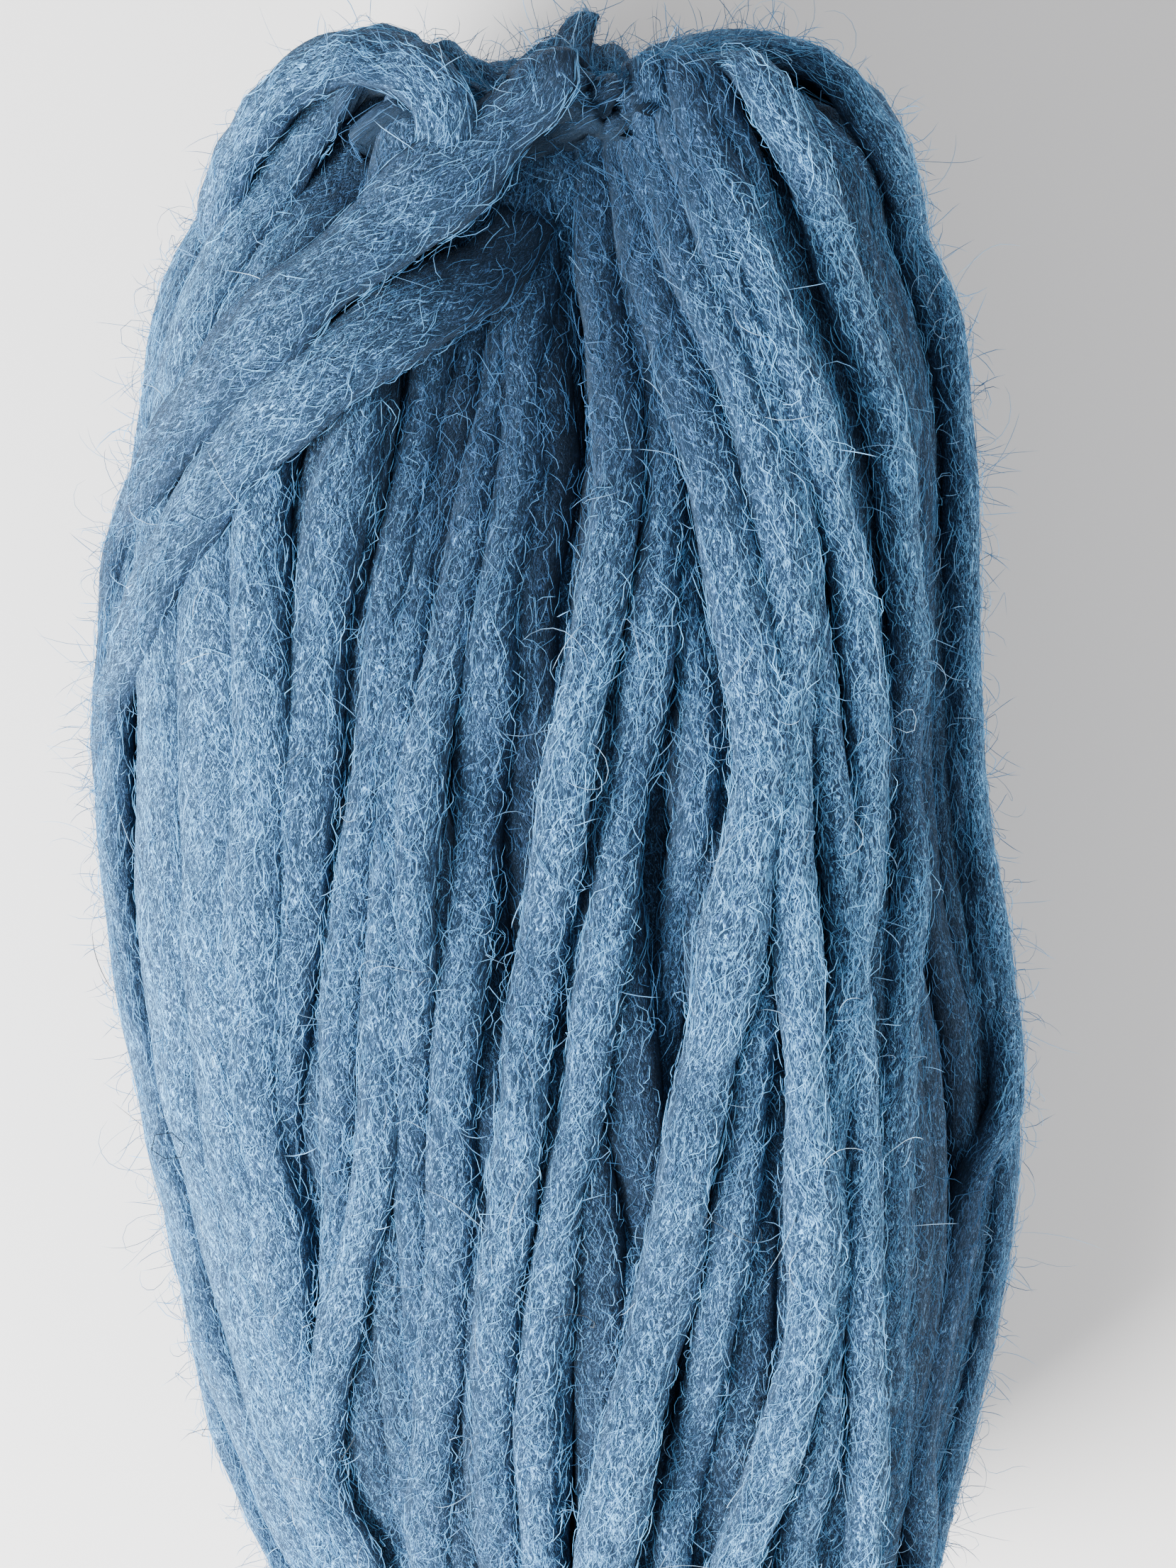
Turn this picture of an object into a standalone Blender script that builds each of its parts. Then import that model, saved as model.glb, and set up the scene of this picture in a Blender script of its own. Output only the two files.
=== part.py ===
"""A centre-pull skein of soft, unspun wool roving, lying on its back.

The skein is one wound body. Its turns run lengthwise along Y, fan out over a
rounded shoulder at each end and dive into a dimple there. A flat band of a few
turns crosses the upper face on the slant. The script models the wound form, the
ridges of the outer turns, the band and the two dimples as one closed solid.
"""

import math

import bmesh
import bpy
from mathutils import Vector

MM = 0.001

# Cross-sections of the wound form, from its foot (-Y) to its head (+Y), in mm.
# along: place on Y; left and right: reach along X; crown: height of the upper
# face; bed: height of the lower face.
SECTION_COLUMNS = ("along", "left", "right", "crown", "bed")
SECTIONS = (
    (-104.0, -32.0, 46.0, 75.0, 8.0),
    (-90.0, -38.0, 49.5, 80.0, 3.4),
    (-72.0, -44.5, 52.5, 84.0, 0.4),
    (-53.0, -48.5, 55.5, 87.0, -0.8),
    (-33.0, -51.0, 57.0, 89.0, -1.2),
    (-13.0, -54.5, 55.0, 90.0, -1.3),
    (6.0, -55.5, 51.5, 90.0, -1.3),
    (24.0, -55.5, 49.0, 89.0, -1.2),
    (42.0, -53.5, 48.5, 87.0, -0.7),
    (59.0, -49.5, 48.0, 84.0, 0.8),
    (72.0, -47.5, 45.5, 80.0, 3.6),
    (82.0, -43.5, 41.5, 75.5, 8.0),
)
ROUNDNESS = 2.35  # exponent of the superellipse that each cross-section follows

# The two ends. rise: from the last section to the rim; rim: how far in from the
# edge the rim is highest, as a share of the way to the dimple; depth: dimple below
# the rim; across and height: the dimple's middle; lean: how far the rim falls
# back per millimetre of height.
ENDS = {
    "foot": dict(rise=21.0, rim=0.52, depth=11.0, across=5.0, height=42.0, lean=0.0, rings=8),
    "head": dict(rise=26.0, rim=0.48, depth=11.0, across=-7.0, height=55.0, lean=0.20, rings=11),
}

TURNS = 52  # outer turns around the form, one ridge each
RIDGE = 1.25  # mean height of a ridge above or below the wound form, mm
RIDGE_SPREAD = 0.45  # how much ridges differ, as a share of RIDGE
SWAY = 0.055  # how far turns wander sideways, radians
BODY_STEP = 5.1  # distance between rings along the body, mm

# The slanting band: the middle line of its one turn, from the rim of the head over
# the upper face, round the left flank, up the lower face and back past the dimple.
# turned: degrees round the section; along: place on Y; inward: share of the way
# to the head's dimple.
BAND_COLUMNS = ("turned", "along", "inward")
BAND_TURN = (
    (86.0, 82.0, 0.48),
    (94.0, 82.0, 0.22),
    (105.0, 80.0, 0.0),
    (126.0, 67.0, 0.0),
    (150.0, 50.0, 0.0),
    (169.0, 32.0, 0.0),
    (186.0, 18.0, 0.0),
    (204.0, 22.0, 0.0),
    (226.0, 42.0, 0.0),
    (246.0, 64.0, 0.0),
    (262.0, 82.0, 0.0),
    (274.0, 82.0, 0.25),
    (284.0, 82.0, 0.50),
    (330.0, 82.0, 0.70),
    (390.0, 82.0, 0.70),
    (446.0, 82.0, 0.48),
)
BAND_HALF_WIDTH = 11.5
BAND_LIFT = 3.0
BAND_STRANDS = 2  # ridges across the band
BAND_STRAND_LIFT = 0.9

# The bight where the band passes over the rim of the head, and the notch beside it
# where the dimple opens through the rim.
BIGHT = dict(across=1.5, half_width=5.0, lift=3.0, reach=0.35)
NOTCH = dict(across=-8.0, half_width=9.0, lift=-4.5, reach=0.42)
RIM_FEATURES = (BIGHT, NOTCH)

# The part's origin lies under this place of the tables above, the middle of its box, mm.
ORIGIN = Vector((-0.75, -6.24, 0.0))

WOOL_COLOUR = (0.140, 0.285, 0.480, 1.0)
WOOL_ROUGHNESS = 0.95


def smooth_step(t):
    t = min(max(t, 0.0), 1.0)
    return t * t * (3.0 - 2.0 * t)


def section_at(along):
    """The section at a place on Y, on a smooth curve through the table's rows."""
    rows = SECTIONS
    k = max(i for i in range(len(rows) - 1) if rows[i][0] <= along or i == 0)
    low, high = rows[k], rows[k + 1]
    before, after = rows[max(k - 1, 0)], rows[min(k + 2, len(rows) - 1)]
    span = high[0] - low[0]
    t = (along - low[0]) / span
    found = {}
    for i, name in enumerate(SECTION_COLUMNS[1:], start=1):
        slope_low = (high[i] - before[i]) / (high[0] - before[0]) * span
        slope_high = (after[i] - low[i]) / (after[0] - low[0]) * span
        found[name] = (
            (2 * t**3 - 3 * t**2 + 1) * low[i]
            + (t**3 - 2 * t**2 + t) * slope_low
            + (3 * t**2 - 2 * t**3) * high[i]
            + (t**3 - t**2) * slope_high
        )
    return found


def rounded(value):
    """A cosine or sine bent to the superellipse."""
    return math.copysign(abs(value) ** (2.0 / ROUNDNESS), value)


def section_point(along, angle):
    """The point of the wound form at an angle round its section, 0 at +X and 90 degrees up."""
    section = section_at(along)
    middle = (section["left"] + section["right"]) / 2
    half_width = (section["right"] - section["left"]) / 2
    level = (section["crown"] + section["bed"]) / 2
    half_height = (section["crown"] - section["bed"]) / 2
    return Vector((
        middle + half_width * rounded(math.cos(angle)),
        along,
        level + half_height * rounded(math.sin(angle)),
    ))


def end_profile(share, end):
    """How far an end has risen, as a share of its rise, on the way from its edge to the dimple."""
    if share < end["rim"]:
        return math.sqrt(max(0.0, 1.0 - (1.0 - share / end["rim"]) ** 2))
    sunk = smooth_step((share - end["rim"]) / (1.0 - end["rim"]))
    return 1.0 - sunk * end["depth"] / end["rise"]


def end_point(name, share, angle):
    """A point on an end: share 0 is the edge of the last section, and 1 is the dimple's middle."""
    end = ENDS[name]
    way = 1.0 if name == "head" else -1.0
    along = SECTIONS[-1 if name == "head" else 0][0]
    edge = section_point(along, angle)
    x = edge.x + (end["across"] - edge.x) * share
    z = edge.z + (end["height"] - edge.z) * share
    y = along + way * end["rise"] * end_profile(share, end)
    y -= way * end["lean"] * max(0.0, z - end["height"] / 2) * smooth_step(share / end["rim"])
    return Vector((x, y, z))


def ring_list():
    """Every ring from foot to head, as (kind, value), without the two poles."""
    first, last = SECTIONS[0][0], SECTIONS[-1][0]
    steps = round((last - first) / BODY_STEP)
    foot = [("foot", 1.0 - k / ENDS["foot"]["rings"]) for k in range(1, ENDS["foot"]["rings"])]
    body = [("body", first + (last - first) * k / steps) for k in range(steps + 1)]
    head = [("head", k / ENDS["head"]["rings"]) for k in range(1, ENDS["head"]["rings"])]
    return foot + body + head


def form_point(ring, angle):
    kind, value = ring
    if kind == "body":
        return section_point(value, angle)
    return end_point(kind, value, angle)


def ridge_fade(ring):
    """Ridges keep their height on the body and flatten towards a dimple's middle."""
    kind, value = ring
    return 1.0 if kind == "body" else 1.0 - smooth_step(value) * 0.85


def turn_height(turn):
    """Each turn's own ridge height, from a fixed uneven sequence."""
    uneven = math.sin(turn * 2.4) * math.cos(turn * 1.3 + 0.7)
    return RIDGE * (1.0 + RIDGE_SPREAD * uneven)


def even_angles(count):
    """Angles that lie the same distance apart along the outline of the middle section."""
    fine = 8 * count
    places = [section_point(0.0, 2.0 * math.pi * k / fine) for k in range(fine + 1)]
    walked = [0.0]
    for low, high in zip(places, places[1:]):
        walked.append(walked[-1] + (high - low).length)
    angles, k = [], 0
    for turn in range(count):
        goal = walked[-1] * turn / count
        while walked[k + 1] < goal:
            k += 1
        share = (goal - walked[k]) / (walked[k + 1] - walked[k])
        angles.append(2.0 * math.pi * (k + share) / fine)
    return angles


def wander(angle, along):
    """How far a turn has moved sideways at this place, so that neighbours open and close."""
    return SWAY * (
        0.6 * math.sin(3.0 * angle + along * 0.021)
        + 0.4 * math.sin(7.0 * angle - along * 0.034 + 1.0)
    )


def band_line():
    """The band's middle line as points on the wound form."""
    line = []
    for values in BAND_TURN:
        row = dict(zip(BAND_COLUMNS, values))
        angle = math.radians(row["turned"])
        if row["inward"] > 0.0:
            line.append(end_point("head", row["inward"], angle))
        else:
            line.append(section_point(row["along"], angle))
    return line


def band_height(point, normal, line):
    """How far the slanting band raises a point of the form."""
    nearest, best = 0.0, BAND_HALF_WIDTH
    for low, high in zip(line, line[1:]):
        run = high - low
        t = min(max((point - low).dot(run) / run.length_squared, 0.0), 1.0)
        off = point - low - run * t
        if off.length < best:
            best = off.length
            nearest = math.copysign(off.length, off.dot(run.cross(normal)))
    if best >= BAND_HALF_WIDTH:
        return 0.0
    share = nearest / BAND_HALF_WIDTH
    edge = smooth_step((1.0 - abs(share)) / 0.45)
    strands = abs(math.sin(share * math.pi * BAND_STRANDS / 2))
    return edge * (BAND_LIFT + BAND_STRAND_LIFT * (2.0 * strands - 1.0))


def rim_height(point, ring):
    """How far the bight and the notch move a point of the head along Y."""
    if ring[0] != "head":
        return 0.0
    height = 0.0
    for feature in RIM_FEATURES:
        side = 1.0 - abs(point.x - feature["across"]) / feature["half_width"]
        rim = 1.0 - abs(ring[1] - ENDS["head"]["rim"]) / feature["reach"]
        height += feature["lift"] * smooth_step(side) * smooth_step(rim)
    return height


def skein_points():
    """Rings of points, each pushed out along the form's own normal by its ridge and the band."""
    columns = 2 * TURNS
    angles = even_angles(columns)
    rings = ring_list()
    line = band_line()
    base = []
    for ring in rings:
        row = []
        for angle in angles:
            along = form_point(ring, angle).y
            row.append(form_point(ring, angle + wander(angle, along)))
        base.append(row)
    raised = []
    for r, ring in enumerate(rings):
        row = []
        for c in range(columns):
            point = base[r][c]
            around = base[r][(c + 1) % columns] - base[r][c - 1]
            upward = base[min(r + 1, len(rings) - 1)][c] - base[max(r - 1, 0)][c]
            normal = upward.cross(around).normalized()
            ridge = turn_height(c // 2) * (1.0 if c % 2 == 0 else -1.0) * ridge_fade(ring)
            band = band_height(point, normal, line)
            ridge *= 1.0 - 0.7 * min(band / BAND_LIFT, 1.0)
            moved = point + normal * (ridge + band)
            moved.y += rim_height(point, ring)
            row.append(moved)
        raised.append(row)
    return raised


def pole_point(name):
    return end_point(name, 1.0, 0.0)


def build_skein():
    rows = skein_points()
    mesh = bpy.data.meshes.new("skein")
    bm = bmesh.new()
    rings = []
    for row in rows:
        ring = []
        for p in row:
            place = Vector((p.x, p.y, max(p.z, 0.0))) - ORIGIN
            ring.append(bm.verts.new(place * MM))
        rings.append(ring)
    columns = len(rings[0])
    for low, high in zip(rings, rings[1:]):
        for c in range(columns):
            n = (c + 1) % columns
            bm.faces.new((low[n], low[c], high[c], high[n]))
    foot = bm.verts.new((pole_point("foot") - ORIGIN) * MM)
    head = bm.verts.new((pole_point("head") - ORIGIN) * MM)
    for c in range(columns):
        n = (c + 1) % columns
        bm.faces.new((foot, rings[0][c], rings[0][n]))
        bm.faces.new((head, rings[-1][n], rings[-1][c]))
    bmesh.ops.recalc_face_normals(bm, faces=bm.faces)
    bm.to_mesh(mesh)
    bm.free()
    mesh.shade_smooth()
    skein = bpy.data.objects.new("skein", mesh)
    bpy.context.scene.collection.objects.link(skein)
    return skein


def wool_material():
    wool = bpy.data.materials.new("wool")
    wool.use_nodes = True
    shader = wool.node_tree.nodes["Principled BSDF"]
    shader.inputs["Base Color"].default_value = WOOL_COLOUR
    shader.inputs["Roughness"].default_value = WOOL_ROUGHNESS
    shader.inputs["Metallic"].default_value = 0.0
    return wool


def main():
    for old in list(bpy.data.objects):
        bpy.data.objects.remove(old, do_unlink=True)
    skein = build_skein()
    skein.data.materials.append(wool_material())


main()
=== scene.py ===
import math

import bpy
import numpy as np
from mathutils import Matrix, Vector
from mathutils.bvhtree import BVHTree


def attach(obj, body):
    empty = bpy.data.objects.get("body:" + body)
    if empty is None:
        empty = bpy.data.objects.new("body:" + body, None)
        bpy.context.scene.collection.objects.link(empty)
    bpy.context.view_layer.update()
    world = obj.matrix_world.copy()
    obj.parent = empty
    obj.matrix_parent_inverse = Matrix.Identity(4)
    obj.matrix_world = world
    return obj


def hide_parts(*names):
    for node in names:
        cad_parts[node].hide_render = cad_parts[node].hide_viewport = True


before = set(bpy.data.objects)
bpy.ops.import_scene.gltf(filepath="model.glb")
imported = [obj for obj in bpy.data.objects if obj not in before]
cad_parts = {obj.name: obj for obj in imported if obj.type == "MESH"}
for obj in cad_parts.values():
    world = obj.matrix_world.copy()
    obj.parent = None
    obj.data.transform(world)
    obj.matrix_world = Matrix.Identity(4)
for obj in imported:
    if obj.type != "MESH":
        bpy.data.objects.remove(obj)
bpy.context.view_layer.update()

mm = 0.001
dice = np.random.default_rng(11)

# the wound form that every turn lies on, in mm

form = {
    "rows": (  # along Y, left, right, crown, bed
        (-104.0, -32.0, 46.0, 75.0, 8.0),
        (-90.0, -38.0, 49.5, 80.0, 3.4),
        (-72.0, -44.5, 52.5, 84.0, 0.4),
        (-53.0, -48.5, 55.5, 87.0, -0.8),
        (-33.0, -51.0, 57.0, 89.0, -1.2),
        (-13.0, -54.5, 55.0, 90.0, -1.3),
        (6.0, -55.5, 51.5, 90.0, -1.3),
        (24.0, -55.5, 49.0, 89.0, -1.2),
        (42.0, -53.5, 48.5, 87.0, -0.7),
        (59.0, -49.5, 48.0, 84.0, 0.8),
        (72.0, -47.5, 45.5, 80.0, 3.6),
        (82.0, -43.5, 41.5, 75.5, 8.0),
    ),
    "roundness": 2.35,
    "origin": (-0.75, -6.24, 0.0),
    "foot": {"rise": 21.0, "rim": 0.52, "depth": 11.0, "across": 5.0, "height": 42.0, "lean": 0.0},
    "head": {"rise": 26.0, "rim": 0.48, "depth": 11.0, "across": -7.0, "height": 55.0, "lean": 0.20},
    "notch": {"across": -8.0, "halfWidth": 9.0, "lift": -4.5, "reach": 0.42},
    "columns": 240,
    "sink": 1.0,  # how far below the form a turn's middle lies
    # where the turns lie deeper: angle and half its width in degrees, reach and half its length,
    # how much deeper, and how much darker they are painted as shade (below zero, lighter)
    "dents": (
        (90.0, 28.0, 2.04, 0.33, 6.0, 0.0),
        (72.0, 17.0, 2.20, 0.25, 1.5, 4.5),
        (93.0, 6.5, 1.62, 0.15, 3.6, 0.0),
        (79.0, 5.5, 1.59, 0.17, 3.0, 0.0),
        (83.0, 5.5, 1.33, 0.18, 2.6, 0.0),
        (163.0, 36.0, 2.34, 0.38, 11.0, -4.0),
        (29.0, 11.0, 1.42, 0.44, 4.5, 3.0),
        (123.0, 13.0, 2.14, 0.30, 6.0, 2.5),
    ),
    "dentEdge": 0.7,
    "sag": {  # the slope behind the head's hollow that what lies below the turns keeps under
        "across": -2.0,
        "halfWidth": 18.0,
        "along": 70.0,
        "height": 74.0,
        "slope": 0.9,
        "rise": 1.5,
    },
    "endRows": 41,
    "bodyRows": 81,
}


def smoothStep(t):
    t = np.clip(t, 0.0, 1.0)
    return t * t * (3.0 - 2.0 * t)


def unit(vectors):
    return vectors / np.maximum(np.linalg.norm(vectors, axis=-1, keepdims=True), 1e-9)


def walkedAlong(points, power=1.0):
    # the distance walked to each point
    steps = np.linalg.norm(np.diff(points, axis=0), axis=1) ** power
    return np.concatenate([[0.0], np.cumsum(steps)])


def curveThrough(x, places, values):
    # a smooth curve through the values, held level past both ends
    places, values = np.asarray(places, float), np.asarray(values, float)
    last = len(places) - 1
    after = np.minimum(np.arange(last + 1) + 1, last)
    before = np.maximum(np.arange(last + 1) - 1, 0)
    slopes = (values[after] - values[before]) / (places[after] - places[before])
    k = np.clip(np.searchsorted(places, x, side="right") - 1, 0, last - 1)
    span = places[k + 1] - places[k]
    t = np.clip((x - places[k]) / span, 0.0, 1.0)
    return (
        (2 * t**3 - 3 * t**2 + 1) * values[k]
        + (t**3 - 2 * t**2 + t) * slopes[k] * span
        + (3 * t**2 - 2 * t**3) * values[k + 1]
        + (t**3 - t**2) * slopes[k + 1] * span
    )


rowTable = np.array(form["rows"])


def rounded(value):
    return np.sign(value) * np.abs(value) ** (2.0 / form["roundness"])


def sectionPoints(along, angle):
    left, right, crown, bed = (curveThrough(along, rowTable[:, 0], edge) for edge in rowTable[:, 1:].T)
    x = (left + right) / 2 + (right - left) / 2 * rounded(np.cos(angle))
    z = (crown + bed) / 2 + (crown - bed) / 2 * rounded(np.sin(angle))
    return np.stack([x, along + 0.0 * angle, z], axis=-1)


def endPoints(name, way, angle):
    # way: 0 at the edge of the body, 0.5 on the rim and 1 in the middle of the dimple
    end = form[name]
    side = 1.0 if name == "head" else -1.0
    outer = way < 0.5
    inner = end["rim"] + (1 - end["rim"]) * (2 * way - 1)
    share = np.where(outer, end["rim"] * (1 - np.cos(way * np.pi)), inner)
    sunk = smoothStep((share - end["rim"]) / (1 - end["rim"])) * end["depth"] / end["rise"]
    profile = np.where(outer, np.sin(way * np.pi), 1.0 - sunk)
    edgeRow = rowTable[-1 if name == "head" else 0, 0]
    points = sectionPoints(np.full_like(share, edgeRow), angle)
    points[..., 0] += (end["across"] - points[..., 0]) * share
    points[..., 2] += (end["height"] - points[..., 2]) * share
    points[..., 1] += side * end["rise"] * profile
    fallBack = np.maximum(0.0, points[..., 2] - end["height"] / 2) * smoothStep(share / end["rim"])
    points[..., 1] -= side * end["lean"] * fallBack
    if name == "head":
        notch = form["notch"]
        beside = smoothStep(1 - np.abs(points[..., 0] - notch["across"]) / notch["halfWidth"])
        near = smoothStep(1 - np.abs(share - end["rim"]) / notch["reach"])
        points[..., 1] += notch["lift"] * beside * near
    return points


def formPoints(reach, angle):
    # reach: 0 to 1 is the foot, 1 to 2 the body and 2 to 3 the head
    # angle: 0 at +X, and a quarter turn at the crown
    reach, angle = np.broadcast_arrays(np.asarray(reach, float), np.asarray(angle, float))
    first, last = rowTable[0, 0], rowTable[-1, 0]
    body = sectionPoints(first + (last - first) * np.clip(reach - 1, 0, 1), angle)
    head = endPoints("head", np.clip(reach - 2, 0, 1), angle)
    foot = endPoints("foot", np.clip(1 - reach, 0, 1), angle)
    pick = np.where(reach[..., None] > 2, head, np.where(reach[..., None] < 1, foot, body))
    return pick - np.array(form["origin"])


def formNormals(reach, angle):
    small = 0.004
    along = formPoints(reach + small, angle) - formPoints(reach - small, angle)
    around = formPoints(reach, angle + small) - formPoints(reach, angle - small)
    return unit(np.cross(along, around))


def dentDepth(reach, angle):
    # how much deeper, and how much darker painted as shade
    deeper, toneAndPaintedShade = 0.0, 0.0
    for middle, halfAngle, place, halfReach, depth, shade in form["dents"]:
        aside = np.abs((np.degrees(angle) - middle + 180) % 360 - 180) / halfAngle
        away = np.abs(reach - place) / halfReach
        share = smoothStep((1 - aside) / form["dentEdge"]) * smoothStep((1 - away) / form["dentEdge"])
        deeper, toneAndPaintedShade = deeper + depth * share, toneAndPaintedShade + shade * share
    return deeper, toneAndPaintedShade


def sagHead(points):
    sag = form["sag"]
    aside = np.maximum(np.abs(points[..., 0] - sag["across"]) - sag["halfWidth"], 0)
    limit = sag["height"] - sag["slope"] * (points[..., 1] - sag["along"]) + sag["rise"] * aside
    sunk = np.minimum(points[..., 2], limit)
    points[..., 2] = np.where(points[..., 1] > sag["along"], sunk, points[..., 2])


# the camera, and the place on the form under one of its pixels

camera = {
    "target": (3.45, 20.54, 44.0),
    "distance": 280.0,
    "tilt": 12.0,  # from straight down, towards the head
    "imageSize": (1659, 2212),
    "focal": 3111.0,  # in pixels of that image
    "sensor": 36.0,
    "clip": (0.01, 20.0),
    "edgeTries": 60,
    "edgeStep": (4.0, 2.0),  # how far a pixel off the outline moves in at a time, across and down
    "edgeTop": 400,  # only a pixel above this row moves down
}

tilt = math.radians(camera["tilt"])
viewBack = np.array([0.0, math.sin(tilt), math.cos(tilt)])
viewUp = np.array([0.0, math.cos(tilt), -math.sin(tilt)])
viewRight = np.array([1.0, 0.0, 0.0])
eye = np.array(camera["target"]) + camera["distance"] * viewBack


def newObject(name, data):
    ob = bpy.data.objects.new(name, data)
    bpy.context.scene.collection.objects.link(ob)
    return ob


def makeCamera():
    data = bpy.data.cameras.new("view")
    data.sensor_fit = "AUTO"  # the sensor's width goes with the longer side
    data.sensor_width = camera["sensor"]
    data.lens = camera["focal"] / max(camera["imageSize"]) * camera["sensor"]
    data.clip_start, data.clip_end = camera["clip"]
    ob = newObject("view", data)
    ob.location = Vector(eye) * mm
    ob.rotation_euler = (-tilt, 0.0, 0.0)
    bpy.context.scene.camera = ob


makeCamera()

gridReach = np.concatenate([
    np.linspace(0, 1, form["endRows"])[1:-1],
    np.linspace(1, 2, form["bodyRows"]),
    np.linspace(2, 3, form["endRows"])[1:-1],
])
gridAngle = np.arange(form["columns"]) * 2 * np.pi / form["columns"]
gridPoints = formPoints(gridReach[:, None], gridAngle[None, :])


def ringQuads(rows, columns, closed):
    # the faces between rings of points; closed joins the last ring to the first
    i, j = np.meshgrid(np.arange(rows if closed else rows - 1), np.arange(columns), indexing="ij")
    i2, j2 = (i + 1) % rows, (j + 1) % columns
    return np.stack([i * columns + j, i * columns + j2, i2 * columns + j2, i2 * columns + j], axis=-1)


def rayTree(points, quads):
    return BVHTree.FromPolygons(points.reshape(-1, 3).tolist(), quads.reshape(-1, 4).tolist())


tree = rayTree(gridPoints, ringQuads(len(gridReach), form["columns"], False))


def placeUnder(px, py):
    # where the form shows at a pixel, as reach and angle; a pixel just off the outline moves in
    wide, high = camera["imageSize"]
    columns = form["columns"]
    acrossStep, downStep = camera["edgeStep"]
    for _ in range(camera["edgeTries"]):
        ray = viewRight * (px - wide / 2) + viewUp * (high / 2 - py) - viewBack * camera["focal"]
        hit, _normal, face, _far = tree.ray_cast(Vector(eye), Vector(unit(ray)))
        if hit is not None:
            break
        px += math.copysign(acrossStep, wide / 2 - px)
        py += downStep if py < camera["edgeTop"] else 0.0
    i, j = divmod(face, columns)
    corner, n = gridPoints[i, j], (j + 1) % columns
    sides = np.stack([gridPoints[i + 1, j] - corner, gridPoints[i, n] - corner], axis=1)
    a, b = np.linalg.lstsq(sides, np.array(hit) - corner, rcond=None)[0]
    reach = gridReach[i] + a * (gridReach[i + 1] - gridReach[i])
    return reach, gridAngle[j] + b * 2 * np.pi / columns


# the turns: where each one crosses the upper face, from the head down

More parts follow.
